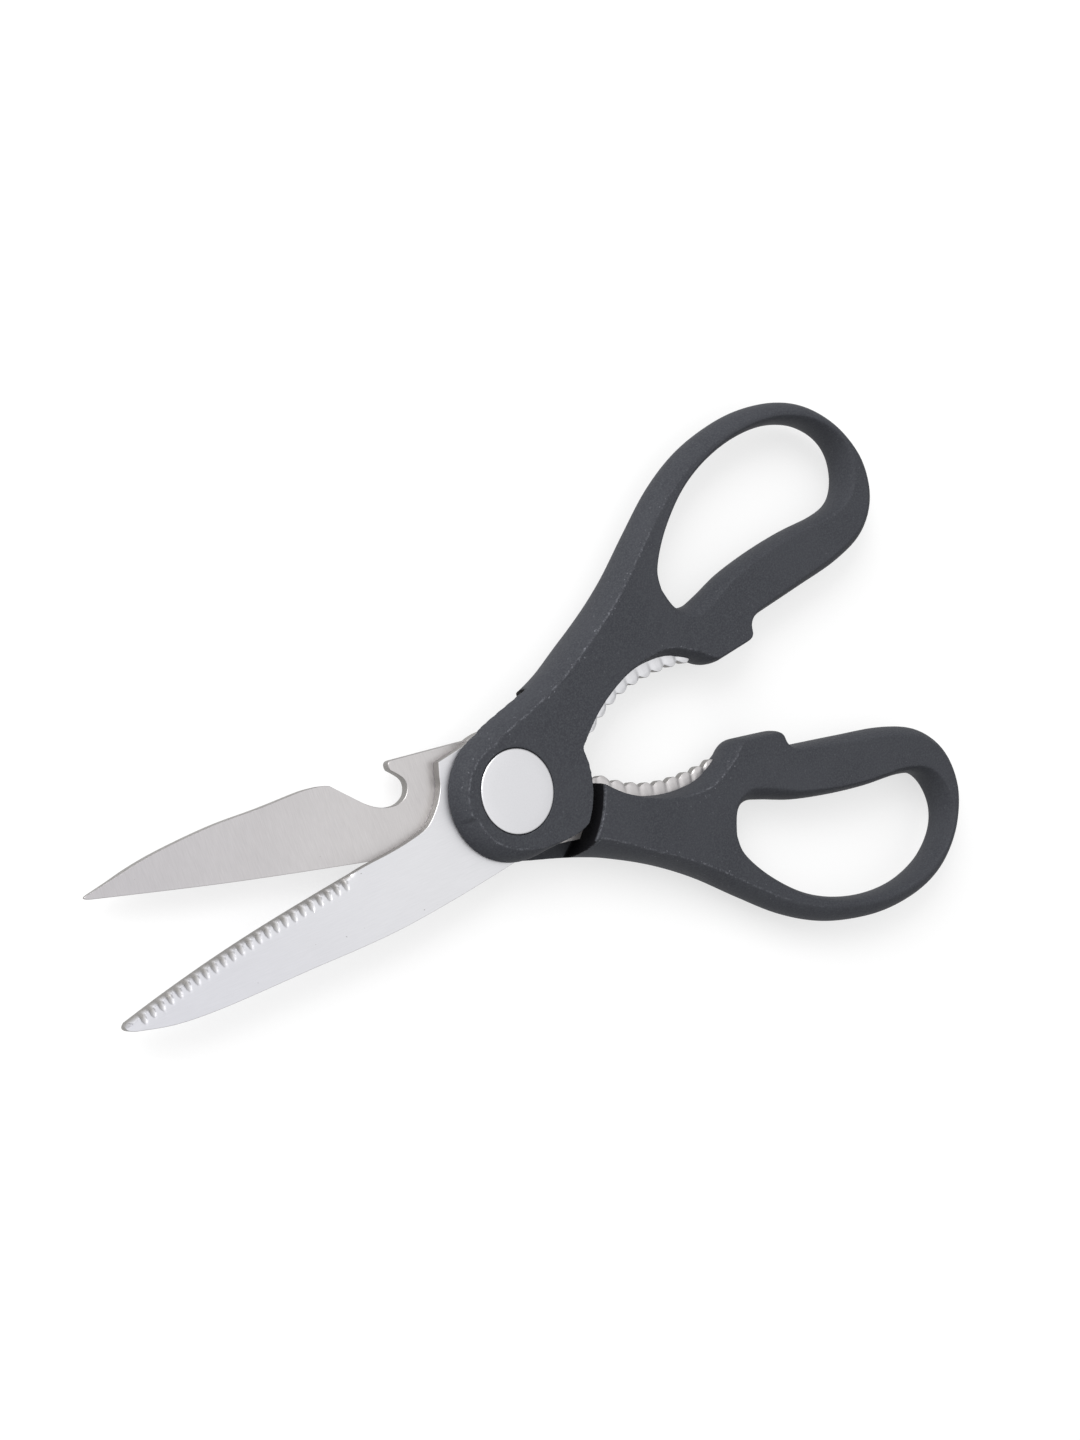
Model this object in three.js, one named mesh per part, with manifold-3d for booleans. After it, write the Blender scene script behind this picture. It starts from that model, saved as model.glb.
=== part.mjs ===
// Poultry shears: two stamped steel blades with tangs moulded into two plastic handles,
// turning on one screw. Units are millimetres, +Z is up. The shears lie flat: the pivot
// axis is Z, the blades point to -X and the handles to +X.
import * as THREE from 'three';
import Module from 'manifold-3d';

// ---- driving dimensions ---------------------------------------------------------------
const STACK = 13.2;            // overall thickness at the pivot
const BLADE_T = 2.2;           // blade sheet thickness
const BLADE_GAP = 0.1;         // running gap between the two blades
const SEAT_GAP = 0.05;         // gap between a blade and the boss it is seated in
const REST_HALF_OPEN = 8.05;   // each half is turned this far from the closed pose, degrees
const RING_SCALE = 0.70;       // finger rings are this fraction of the pivot thickness
const TAPER_FROM = 22;         // the handle starts to thin here, x
const TAPER_TO = 62;           // and has its final thickness here, x
const EDGE_IN = 1.8;           // rounded handle edges: how far they come in
const EDGE_DOWN = 3.0;         // and how far down the side they reach
const BOSS_R = 14.2;           // outer radius of the pivot boss
const BOSS_R_INNER = 19.0;     // radius of the boss edge that faces the other handle
const STEP_R = 21.7;           // the other handle steps back to this radius
const CAP_R = 8.85;            // cover disc
const CAP_T = 1.3;
const CAP_CLEAR = 0.15;
const HEAD_R = 5.6, HEAD_T = 1.7;
const SHANK_R = 3.0;
const RUN_CLEAR = 0.05;        // radial running clearance on the screw
const NUT_R = 5.6, NUT_T = 1.25;
const WASHER_R = 5.2, WASHER_T = 0.35;
const CBORE_R = 6.1;           // counterbore for head, nut and washer
const SERR_N = 25, SERR_PITCH = 2.2, SERR_DEPTH = 0.32;
const TOOTH_N = 9, TOOTH_PITCH = 3.5, TOOTH_DEPTH = 0.95;

const MID = STACK / 2;
const BLADE_A_Z = MID + BLADE_GAP / 2;             // underside of the upper blade
const BLADE_A_TOP = BLADE_A_Z + BLADE_T;
const BOSS_BOTTOM = BLADE_A_TOP + SEAT_GAP;        // underside of the upper boss
const RAD = Math.PI / 180;

// ---- materials ------------------------------------------------------------------------
const plastic = () => new THREE.MeshStandardMaterial({ color: 0x46494c, roughness: 0.62, metalness: 0.0 });
const steel = () => new THREE.MeshStandardMaterial({ color: 0xc6c7c6, roughness: 0.34, metalness: 1.0 });
const satin = () => new THREE.MeshStandardMaterial({ color: 0xd2d3d4, roughness: 0.4, metalness: 1.0 });

// ---- solids helpers -------------------------------------------------------------------
const wasm = await Module();
wasm.setup();

// weld the corner points of a three.js solid so that it can be joined and cut
function weld(geometry) {
  const src = geometry.index ? geometry.toNonIndexed() : geometry;
  const p = src.attributes.position;
  const seen = new Map(), verts = [], tris = [];
  for (let i = 0; i < p.count; i++) {
    const x = p.getX(i), y = p.getY(i), z = p.getZ(i);
    const key = [x, y, z].map((v) => Math.round(v * 1e5) + 0).join();
    if (!seen.has(key)) { seen.set(key, verts.length / 3); verts.push(x, y, z); }
    tris.push(seen.get(key));
  }
  const keep = [];
  for (let i = 0; i < tris.length; i += 3) {
    const [a, b, c] = [tris[i], tris[i + 1], tris[i + 2]];
    if (a !== b && b !== c && a !== c) keep.push(a, b, c);
  }
  return { verts, tris: keep };
}
function solid(geometry) {
  const { verts, tris } = weld(geometry);
  return new wasm.Manifold(new wasm.Mesh({
    numProp: 3, vertProperties: new Float32Array(verts), triVerts: new Uint32Array(tris),
  }));
}
function toGeometry(m) {
  const g = m.getMesh();
  const geo = new THREE.BufferGeometry();
  geo.setAttribute('position', new THREE.BufferAttribute(new Float32Array(g.vertProperties), 3));
  geo.setIndex(new THREE.BufferAttribute(new Uint32Array(g.triVerts), 1));
  geo.computeVertexNormals();
  return geo;
}
const cyl = (r, z0, z1, n = 64) => {
  const g = new THREE.CylinderGeometry(r, r, z1 - z0, n);
  g.rotateX(Math.PI / 2); g.translate(0, 0, (z0 + z1) / 2);
  return g;
};
// a shape as straight stretches, without points that fall on one another
function facet(path, seg) {
  const out = [];
  for (const c of path.curves) {
    const n = c.isEllipseCurve ? Math.ceil(Math.abs(c.aEndAngle - c.aStartAngle) / (7.5 * RAD))
      : c.isSplineCurve ? seg * (c.points.length - 1) : c.isLineCurve ? 1 : 4;
    for (const q of c.getPoints(n)) {
      if (!out.length || out[out.length - 1].distanceTo(q) > 0.02) out.push(q);
    }
  }
  while (out.length > 3 && out[0].distanceTo(out[out.length - 1]) < 0.02) out.pop();
  if (THREE.ShapeUtils.isClockWise(out)) out.reverse();
  return out;
}
function faceted(shape, seg) {
  const s = new THREE.Shape(facet(shape, seg));
  for (const h of shape.holes) s.holes.push(new THREE.Path(facet(h, seg)));
  return s;
}
// plain prism over a shape
function prism(shape, z0, z1, seg = 3) {
  const g = new THREE.ExtrudeGeometry(faceted(shape, seg), { depth: z1 - z0, bevelEnabled: false });
  g.translate(0, 0, z0);
  return g;
}
const V = (x, y) => new THREE.Vector2(x, y);
const spline = (shape, pts) => shape.splineThru(pts.map(([x, y]) => V(x, y)));

// ---- handle, drawn closed, its finger ring on the +Y side ------------------------------
function handleOutline() {
  const s = new THREE.Shape();
  s.moveTo(0, BOSS_R + 0.1);
  // outer edge, out along the handle and round the end of the ring
  spline(s, [[4, 15.0], [12, 16.3], [24, 18.95], [35, 22.9], [45, 27.8], [55, 34.1], [65, 40.0], [75, 43.9],
    [85, 45.6], [95, 45.6], [105, 43.3], [112.5, 38.9], [118.2, 31.6], [120.8, 22.5],
    [118.8, 13.6], [112.5, 7.6], [103, 5.2], [90, 4.65], [77, 4.3]]);
  // step down to the stop ledge, which meets the other handle on the closing line
  s.quadraticCurveTo(73.7, 4.2, 73.2, 2.2);
  s.quadraticCurveTo(72.7, 0.15, 70.6, 0.15);
  s.lineTo(61.5, 0.15);
  // hollow edge of the nutcracker
  s.quadraticCurveTo(59.5, 0.2, 57.2, 2.0);
  spline(s, [[50.7, 6.4], [45, 7.9], [39, 8.15], [32.8, 7.2], [27.2, 5.3], [23, 3.0], [BOSS_R_INNER + 0.3, 0.4]]);
  // boss: edge towards the other handle, corner, lower edge and the round end
  s.absarc(0, 0, BOSS_R_INNER, 0, -49 * RAD, true);
  s.lineTo(6.5, -14.35);
  s.absarc(0, 0, BOSS_R, -90 * RAD, -270 * RAD, true);
  s.closePath();
  return s;
}
function fingerHole() {
  const h = new THREE.Path();
  h.moveTo(55.6, 20.5);
  spline(h, [[56.6, 24.2], [61, 29.2], [67, 33.9], [73, 37.2], [80, 39.5], [88, 40.7], [96, 40.5],
    [103, 38.9], [109.5, 35.6], [114, 30.8], [115.4, 25.8], [113.8, 20.6], [110.2, 17.4], [104, 16.5],
    [94, 17.1], [84, 17.0], [74, 16.2], [66, 14.6], [61, 14.0], [57.4, 15.6], [55.6, 20.5]]);
  return h;
}
// thickness of the handle as a fraction of the pivot thickness
function taper(x) {
  const t = Math.min(1, Math.max(0, (x - TAPER_FROM) / (TAPER_TO - TAPER_FROM)));
  return 1 - (1 - RING_SCALE) * t * t * (3 - 2 * t);
}

// ---- tang: the part of the stamping inside the handle ----------------------------------
// edge line of the nutcracker teeth (tips) from the pivot side outwards
const TOOTH_X0 = 24.4;
const toothTip = (x) => {
  const d = x - 40.6;
  return 5.25 - d * d / (d < 0 ? 56 : 100);
};
function toothPoints() {
  const pts = [];
  const per = 4;
  for (let i = 0; i <= TOOTH_N * per; i++) {
    const u = i / per;
    const x = TOOTH_X0 + u * TOOTH_PITCH;
    pts.push([x, toothTip(x) + TOOTH_DEPTH * (1 - Math.abs(Math.sin(Math.PI * u)))]);
  }
  return pts;
}

// ---- serrated blade, drawn closed: edge up, spine down; its handle is on the +Y side ----
function bladeAShape() {
  const s = new THREE.Shape();
  s.moveTo(0, 13.2);
  s.lineTo(-11.6, 12.9);
  // scooped bone notch behind the cutting edge
  spline(s, [[-12.75, 10.4], [-13.8, 8.0], [-16.4, 5.0], [-20.1, 2.6], [-24.4, 2.0], [-30, 2.0], [-36.6, 2.4], [-40.2, 2.4]]);
  // serrated cutting edge
  const x0 = -41.0;
  const edge = (x) => 2.62 - (x + 60) * (x + 60) / (x > -60 ? 1800 : 700);
  for (let i = 0; i < SERR_N; i++) {
    const x = x0 - i * SERR_PITCH;
    s.lineTo(x, edge(x));
    s.lineTo(x - SERR_PITCH * 0.30, edge(x) - SERR_DEPTH);
    s.lineTo(x - SERR_PITCH * 0.70, edge(x) - SERR_DEPTH);
  }
  // tip and spine
  s.lineTo(-96.4, 0.75);
  s.quadraticCurveTo(-98.4, -0.2, -95.7, -1.6);
  spline(s, [[-87.4, -4.7], [-76.4, -7.0], [-56.8, -9.7]]);
  s.lineTo(-34.5, -12.9);
  s.lineTo(-22, -13.3);
  s.lineTo(-4.6, -13.6);
  // round the pivot, under the boss
  s.absarc(0, 0, 13.6, -100 * RAD, -62 * RAD, false);
  s.lineTo(15.4, -7.0);
  tang(s);
  s.closePath();
  return s;
}
// tang outline from the boss out along the stop side, back along the outer side
function tang(s) {
  s.lineTo(17.2, -1.0);
  s.lineTo(20.5, 0.6);
  s.lineTo(22.6, 1.4);
  for (const [x, y] of toothPoints()) s.lineTo(x, y);
  s.lineTo(57.6, 5.0);
  s.lineTo(72.0, 7.4);
  s.quadraticCurveTo(75.6, 8.8, 72.4, 11.0);
  s.lineTo(60.0, 11.0);
  s.quadraticCurveTo(53.0, 11.2, 50.4, 16.4);
  s.quadraticCurveTo(47.6, 20.6, 43.2, 18.8);
  s.lineTo(30.0, 15.6);
  s.lineTo(18.0, 13.4);
}
function bladeBShape() {
  // drawn like blade A (own handle on +Y), so its cutting edge is also up towards +Y
  const s = new THREE.Shape();
  s.moveTo(0, 12.9);
  s.absarc(0, 0, 12.9, 90 * RAD, 150 * RAD, false);
  // cutting edge
  s.lineTo(-20, 8.5);
  s.lineTo(-33.3, 7.45);
  s.lineTo(-64.3, 5.0);
  s.lineTo(-94.1, 1.9);
  s.quadraticCurveTo(-96.6, 1.5, -94.7, 0.85);
  // spine
  spline(s, [[-90.4, -0.5], [-80.1, -3.75], [-66.7, -6.55], [-55.2, -7.95], [-45.9, -9.3], [-42.0, -9.5]]);
  s.quadraticCurveTo(-40.4, -9.5, -39.2, -9.1);
  // bottle opener: ramp, round mouth, hook
  s.lineTo(-34.8, -5.95);
  spline(s, [[-31.6, -3.8], [-28.6, -2.6], [-25.0, -2.4], [-22.6, -3.6], [-21.7, -5.6], [-22.3, -7.5], [-24.9, -9.6]]);
  s.quadraticCurveTo(-25.6, -11.3, -24.1, -11.5);
  s.lineTo(-5.8, -12.15);
  s.absarc(0, 0, 13.4, -115.6 * RAD, -62 * RAD, false);
  s.lineTo(15.4, -7.0);
  tang(s);
  s.closePath();
  return s;
}

// ---- boolean bodies in the closed pose, upper half --------------------------------------
function handleSolid() {
  const outline = handleOutline();
  outline.holes.push(fingerHole());
  const g = new THREE.ExtrudeGeometry(faceted(outline, 2), {
    depth: STACK - 2 * EDGE_DOWN, bevelEnabled: true, bevelThickness: EDGE_DOWN,
    bevelSize: EDGE_IN, bevelOffset: -EDGE_IN, bevelSegments: 2,
  });
  g.translate(0, 0, EDGE_DOWN);
  const p = g.attributes.position;
  for (let i = 0; i < p.count; i++) p.setZ(i, MID + (p.getZ(i) - MID) * taper(p.getX(i)));
  let h = solid(g);
  // room for the other half's boss and for both blades
  h = h.subtract(solid(cyl(STEP_R, -1, BOSS_BOTTOM, 96)));
  // slot for the tang, open at the boss end and along the teeth
  h = h.subtract(solid(prism(tangSlot(), BLADE_A_Z - SEAT_GAP, BOSS_BOTTOM)));
  // cover disc, screw head, shank
  h = h.subtract(solid(cyl(CAP_R + CAP_CLEAR, STACK - CAP_T - 0.1, STACK + 1)));
  h = h.subtract(solid(cyl(CBORE_R, STACK - CAP_T - 0.15 - HEAD_T, STACK)));
  h = h.subtract(solid(cyl(SHANK_R + RUN_CLEAR, -1, STACK)));
  return h;
}
function tangSlot() {
  const s = new THREE.Shape();
  s.moveTo(14, -12);
  s.lineTo(20.5, -1.2);
  s.lineTo(24, 0.2);
  s.lineTo(32, 1.4);
  s.lineTo(50, 1.4);
  s.lineTo(56.3, 2.3);
  s.lineTo(57.9, 4.7);
  s.lineTo(72.3, 7.1);
  s.quadraticCurveTo(76.3, 8.8, 72.6, 11.3);
  s.lineTo(60.2, 11.3);
  s.quadraticCurveTo(53.4, 11.5, 50.8, 16.5);
  s.quadraticCurveTo(47.8, 21.2, 43.0, 19.2);
  s.lineTo(30.0, 15.9);
  s.lineTo(14.0, 13.4);
  s.closePath();
  return s;
}
function bladeSolid(shape, bevelCut) {
  let b = solid(prism(shape, BLADE_A_Z, BLADE_A_TOP));
  b = b.subtract(bevelCut);
  b = b.subtract(solid(cyl(SHANK_R + RUN_CLEAR, -1, STACK)));
  return b;
}
// ground bevel: a wedge that takes the outer face down towards the cutting edge
function wedge(x0, y0, x1, y1, width, edgeLeft) {
  const len = Math.hypot(x1 - x0, y1 - y0);
  const a = Math.atan2(y1 - y0, x1 - x0);
  const s = new THREE.Shape();          // section: u across the edge, v up
  s.moveTo(-width, BLADE_T + 0.001);
  s.lineTo(3, edgeLeft - (BLADE_T - edgeLeft) * 3 / width);
  s.lineTo(3, BLADE_T + 2);
  s.lineTo(-width, BLADE_T + 2);
  s.closePath();
  const g = new THREE.ExtrudeGeometry(s, { depth: len, bevelEnabled: false });
  // section (u,v,w) -> w along the edge, u towards +Y side, v up
  g.applyMatrix4(new THREE.Matrix4().set(0, 0, 1, 0, 1, 0, 0, 0, 0, 1, 0, 0, 0, 0, 0, 1));
  g.rotateZ(a);
  g.translate(x0, y0, BLADE_A_Z);
  return solid(g);
}

const BEVEL_A = wedge(-100.5, 1.9, -40.6, 3.4, 6.2, 0.35);
const BEVEL_B = wedge(-100.5, 0.9, -34.0, 7.35, 4.6, 0.35);

// ---- assembly ---------------------------------------------------------------------------
const root = new THREE.Group();
root.name = 'poultry_shears';
function add(name, geometry, material, parent) {
  const m = new THREE.Mesh(geometry, material);
  m.name = name;
  parent.add(m);
  return m;
}

// upper half: turned open about the pivot
const halfUpper = new THREE.Group();
halfUpper.name = 'half_upper';
halfUpper.rotation.z = REST_HALF_OPEN * RAD;
root.add(halfUpper);
add('handle_upper', toGeometry(handleSolid()), plastic(), halfUpper);
add('blade_serrated', toGeometry(bladeSolid(bladeAShape(), BEVEL_A)), steel(), halfUpper);

// lower half: the same handle turned over about X, with the opener blade
const halfLower = new THREE.Group();
halfLower.name = 'half_lower';
halfLower.rotation.z = -REST_HALF_OPEN * RAD;
root.add(halfLower);
const flip = new THREE.Group();
flip.name = 'half_lower_flip';
flip.rotation.x = Math.PI;
flip.position.z = STACK;
halfLower.add(flip);
add('handle_lower', toGeometry(handleSolid()), plastic(), flip);
add('blade_opener', toGeometry(bladeSolid(bladeBShape(), BEVEL_B)), steel(), flip);

// cover discs: flat faced with a fine chamfer, pressed into the bosses
function capGeometry() {
  const r = CAP_R, t = CAP_T, c = 0.2;
  return new THREE.LatheGeometry([V(0, 0), V(r, 0), V(r, t - c), V(r - c, t), V(0, t)], 72).rotateX(Math.PI / 2);
}
const capFront = add('cap_front', toGeometry(solid(capGeometry())), satin(), halfUpper);
capFront.position.z = STACK - CAP_T;
const capRear = add('cap_rear', toGeometry(solid(capGeometry())), satin(), flip);
capRear.position.z = STACK - CAP_T;

// pivot screw: flat head with a hexagon socket under the front disc
const HEAD_SEAT = STACK - CAP_T - 0.15 - HEAD_T + 0.03;
const NUT_SEAT = CAP_T + 0.15;
let screw = solid(cyl(HEAD_R, HEAD_SEAT, HEAD_SEAT + HEAD_T, 48));
screw = screw.add(solid(cyl(SHANK_R, NUT_SEAT + 0.1, HEAD_SEAT + 0.5, 64)));
screw = screw.subtract(solid(cyl(2.3, HEAD_SEAT + 0.5, STACK, 6)));
add('pivot_screw', toGeometry(screw), steel(), halfUpper);

// slotted round nut and spring washer under the rear disc
let nut = solid(cyl(NUT_R, NUT_SEAT + 0.02, NUT_SEAT + 0.02 + NUT_T, 48));
nut = nut.subtract(solid(cyl(SHANK_R + RUN_CLEAR, 0, STACK)));
for (const a of [0, 90]) {
  const g = new THREE.BoxGeometry(1.2, 20, 1.2);
  g.rotateZ(a * RAD); g.translate(0, 0, NUT_SEAT);
  nut = nut.subtract(solid(g));
}
add('pivot_nut', toGeometry(nut), steel(), halfUpper);
const WASHER_Z = NUT_SEAT + 0.02 + NUT_T + 0.02;
let washer = solid(cyl(WASHER_R, WASHER_Z, WASHER_Z + WASHER_T, 48));
washer = washer.subtract(solid(cyl(SHANK_R + RUN_CLEAR, 0, STACK)));
add('washer', toGeometry(washer), steel(), halfUpper);

export default root;
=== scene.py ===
# Poultry shears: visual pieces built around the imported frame.
# Lengths in the shape code are millimetres in the closed pose of one half, with the pivot
# axis on Z and that half's handle on the +Y side; place_upper and place_lower put a half at rest.
import math

import bpy
import numpy as np
from mathutils import Matrix, Vector
from mathutils.geometry import delaunay_2d_cdt


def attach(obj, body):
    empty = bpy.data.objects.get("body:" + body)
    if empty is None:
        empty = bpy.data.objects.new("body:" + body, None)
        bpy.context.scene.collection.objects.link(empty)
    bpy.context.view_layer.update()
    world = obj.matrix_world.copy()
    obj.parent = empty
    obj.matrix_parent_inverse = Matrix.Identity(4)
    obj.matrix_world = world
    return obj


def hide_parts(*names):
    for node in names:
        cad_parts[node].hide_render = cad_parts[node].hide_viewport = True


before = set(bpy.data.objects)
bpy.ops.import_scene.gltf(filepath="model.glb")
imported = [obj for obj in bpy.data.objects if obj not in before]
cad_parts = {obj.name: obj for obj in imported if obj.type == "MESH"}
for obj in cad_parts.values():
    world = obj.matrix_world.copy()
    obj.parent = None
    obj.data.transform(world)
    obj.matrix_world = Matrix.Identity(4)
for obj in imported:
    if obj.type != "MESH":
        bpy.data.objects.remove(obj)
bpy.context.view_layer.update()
MM = 0.001

# ---- dimensions shared with the solids --------------------------------------------------
STACK = 13.2                       # over both cover discs
MID = STACK / 2
BLADE_T = 2.2
SEAT_GAP = 0.05
BLADE_Z = MID + SEAT_GAP           # underside of the blade that lies on top
BLADE_TOP = BLADE_Z + BLADE_T
BOSS_BOTTOM = BLADE_TOP + SEAT_GAP
HALF_OPEN = math.radians(8.05)     # at rest each half is turned this far from closed
BOSS_R = 14.2
BOSS_R_INNER = 18.7                # boss edge that faces the other handle
STEP_R = 21.7                      # step in the handle that makes room for the other boss
CAP_R = 8.85
CAP_T = 1.3
BORE_R = 3.05
HEAD_R = 6.1                       # seat of the screw's head or the nut, under the disc
HEAD_DEPTH = 1.85
RING_SCALE = 0.70                  # thickness of the loop over that of the boss
TAPER = (22.0, 62.0)               # the thickness falls off between these distances
TOOTH_X0 = 24.4                    # nutcracker teeth
TOOTH_PITCH = 3.5
TOOTH_N = 9
TOOTH_DEPTH = 0.95


def turn(p, a):
    """Points turned by a about the pivot axis."""
    c, s = math.cos(a), math.sin(a)
    q = np.array(p, float)
    return np.stack([q[:, 0] * c - q[:, 1] * s, q[:, 0] * s + q[:, 1] * c, q[:, 2]], 1)


def place_upper(p):
    """From millimetres in the closed pose to the rest pose in metres, for the upper half."""
    return turn(p, HALF_OPEN) * MM


def place_lower(p):
    """The same for the lower half, which is the upper one turned over about X."""
    q = np.array(p, float)
    q[:, 1] *= -1
    q[:, 2] = STACK - q[:, 2]
    return turn(q, -HALF_OPEN) * MM


# ---- outlines ---------------------------------------------------------------------------
LINE_BOW = 0.004                   # keeps the triangulation off exactly straight rows of points


class Outline:
    """A closed outline of splines, lines, curves and arcs. Each point carries a width w, the
    inset of the ridge where the rounded side meets the flat face."""

    def __init__(self, x, y, w=1.0):
        self.p = [(x, y, w)]

    def line(self, x, y, w=None, n=1):
        x0, y0, w0 = self.p[-1]
        w = w0 if w is None else w
        dx, dy = x - x0, y - y0
        L = math.hypot(dx, dy) or 1.0
        for i in range(1, n + 1):
            t = i / n
            bow = LINE_BOW * math.sin(math.pi * t) if i < n else 0
            self.p.append((x0 + dx * t - dy / L * bow, y0 + dy * t + dx / L * bow,
                           w0 + (w - w0) * t))
        return self

    def quad(self, cx, cy, x, y, w=None, n=8):
        x0, y0, w0 = self.p[-1]
        w = w0 if w is None else w
        for i in range(1, n + 1):
            t = i / n
            a, b, c = (1 - t) ** 2, 2 * t * (1 - t), t * t
            self.p.append((a * x0 + b * cx + c * x, a * y0 + b * cy + c * y, w0 + (w - w0) * t))
        return self

    def spline(self, pts, n=6):
        """Catmull-Rom through the last point and pts; a point is (x, y) or (x, y, w)."""
        q = [self.p[-1]]
        for t in pts:
            q.append((t[0], t[1], t[2] if len(t) > 2 else q[-1][2]))
        q = np.array([q[0]] + q + [q[-1]], float)
        for i in range(1, len(q) - 2):
            a, b, c, d = q[i - 1], q[i], q[i + 1], q[i + 2]
            for k in range(1, n + 1):
                t = k / n
                v = 0.5 * (2 * b + (c - a) * t + (2 * a - 5 * b + 4 * c - d) * t * t
                           + (3 * b - a - 3 * c + d) * t ** 3)
                v[2] = b[2] + (c[2] - b[2]) * t
                self.p.append(tuple(v))
        return self

    def arc(self, cx, cy, r, a0, a1, w=None, step=4.0):
        w0 = self.p[-1][2]
        w = w0 if w is None else w
        n = max(2, int(math.ceil(abs(a1 - a0) / step)))
        for i in range(n + 1):
            t = i / n
            a = math.radians(a0 + (a1 - a0) * t)
            self.p.append((cx + r * math.cos(a), cy + r * math.sin(a), w0 + (w - w0) * t))
        return self

    def points(self):
        out = [np.array(self.p[0])]
        for q in self.p[1:]:
            q = np.array(q)
            if np.hypot(*(q - out[-1])[:2]) > 1e-3:
                out.append(q)
        while np.hypot(*(out[0] - out[-1])[:2]) < 1e-3:
            out.pop()
        out = np.array(out)
        area = np.sum(out[:, 0] * np.roll(out[:, 1], -1) - np.roll(out[:, 0], -1) * out[:, 1])
        return out if area > 0 else out[::-1].copy()


def handle_outline(lower):
    s = Outline(0, 14.3 if lower else 14.5, 3.2)
    # outer side of the handle, round the end of the loop and back to the thumb stop
    s.spline([(4, 15.2, 3.2), (12, 16.35, 3.1), (18, 17.4, 2.8), (24, 18.95, 2.5), (35, 22.9, 2.2),
              (45, 27.8, 2.4), (55, 34.1, 2.6), (65, 40.0, 2.8), (75, 43.9, 3.0), (85, 45.6, 3.0),
              (95, 45.6, 2.8), (105, 43.3, 2.6), (112.5, 38.9, 2.4), (118.2, 31.6, 2.2),
              (120.8, 22.5, 2.2), (118.8, 13.6, 2.4), (112.5, 7.6, 2.4), (103, 5.2, 2.2),
              (90, 4.65, 1.8), (77, 4.3, 1.4)])
    s.quad(73.7, 4.2, 73.2, 2.2, 1.0)
    s.quad(72.7, 0.15, 70.6, 0.15, 0.8)
    s.line(61.5, 0.05, 0.9, n=4)
    s.quad(59.3, 0.15, 57.2, 2.2, 1.9)
    # hollow beside the teeth, then the boss
    s.spline([(50.7, 6.5, 1.9), (45, 7.95, 1.5), (39, 8.15, 1.1), (32.8, 7.2, 0.7),
              (27.2, 5.3, 0.5), (23, 3.0, 0.4), (BOSS_R_INNER + 0.5, 0.4, 0.35)])
    s.arc(0, 0, BOSS_R_INNER + 0.35, 0, -48.5, 0.35)
    if lower:
        s.spline([(9.7, -14.5, 0.5), (5.0, -13.9, 0.8), (0.5, -13.1, 1.6)], n=3)
        s.arc(0, 0.6, 13.7, -88, -270, 3.2)
    else:
        s.spline([(9.7, -14.95, 0.5), (6.0, -14.8, 0.55), (2.4, -14.6, 0.9)], n=3)
        s.arc(-0.1, -0.3, 14.25, -88, -266, 3.2)
    p = s.points()
    # the boss band opens out from a plain edge at the bottom to its full width on the far side
    ang = np.degrees(np.arctan2(p[:, 1], p[:, 0]))
    on = (np.hypot(p[:, 0], p[:, 1]) < BOSS_R + 0.6) & (ang < 0) & (p[:, 0] < 2.2)
    p[on, 2] = np.interp(ang[on], [-180, -150, -125, -105, -90, -81],
                         [3.2, 2.9, 2.8, 2.5, 1.5, 0.9])
    return p


def hole_outline():
    h = Outline(55.6, 20.5, 1.4)
    h.spline([(56.6, 24.2), (61, 29.2), (67, 33.9), (73, 37.2), (80, 39.5), (88, 40.7),
              (96, 40.5), (103, 38.9), (109.5, 35.6), (114, 30.8), (115.4, 25.8), (113.8, 20.6),
              (110.2, 17.4), (104, 16.5), (94, 17.1), (84, 17.0), (74, 16.2, 1.8), (66, 14.6, 2.4),
              (61, 14.0, 2.6), (57.4, 15.6, 2.0), (55.6, 20.5, 1.4)])
    return h.points()


def taper(x):
    """Thickness of the handle at x, over that of the boss."""
    t = np.clip((x - TAPER[0]) / (TAPER[1] - TAPER[0]), 0, 1)
    return 1 - (1 - RING_SCALE) * t * t * (3 - 2 * t)


# ---- distance to an outline, sampled once on a fine plan grid ----------------------------
class Field:
    """Distance to an outline, negative inside, and the outline's width at the nearest point."""

    def __init__(self, poly, x0, x1, y0, y1, step):
        self.o, self.step = (x0, y0), step
        xs, ys = np.arange(x0, x1, step), np.arange(y0, y1, step)
        gx, gy = np.meshgrid(xs, ys, indexing="ij")
        q = np.stack([gx.ravel(), gy.ravel()], 1)
        a, b = poly, np.roll(poly, -1, 0)
        best = np.full(len(q), 1e9)
        wid = np.zeros(len(q))
        cross = np.zeros(len(q), int)
        for i in range(len(a)):
            ax, ay, aw = a[i]
            bx, by, bw = b[i]
            dx, dy = bx - ax, by - ay
            L = dx * dx + dy * dy
            if L < 1e-12:
                continue
            t = np.clip(((q[:, 0] - ax) * dx + (q[:, 1] - ay) * dy) / L, 0, 1)
            d = (q[:, 0] - ax - t * dx) ** 2 + (q[:, 1] - ay - t * dy) ** 2
            m = d < best
            best[m] = d[m]
            wid[m] = aw + (bw - aw) * t[m]
            up = (ay > q[:, 1]) != (by > q[:, 1])
            if dy != 0:
                cross += up & (q[:, 0] < ax + (q[:, 1] - ay) * dx / dy)
        d = np.sqrt(best)
        d[cross % 2 == 1] *= -1            # negative inside
        self.d = d.reshape(gx.shape)
        self.w = wid.reshape(gx.shape)

    def at(self, x, y, g):
        u = np.clip((x - self.o[0]) / self.step, 0, g.shape[0] - 1.001)
        v = np.clip((y - self.o[1]) / self.step, 0, g.shape[1] - 1.001)
        i, j = u.astype(int), v.astype(int)
        fu, fv = u - i, v - j
        return ((g[i, j] * (1 - fu) + g[i + 1, j] * fu) * (1 - fv)
                + (g[i, j + 1] * (1 - fu) + g[i + 1, j + 1] * fu) * fv)


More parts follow.
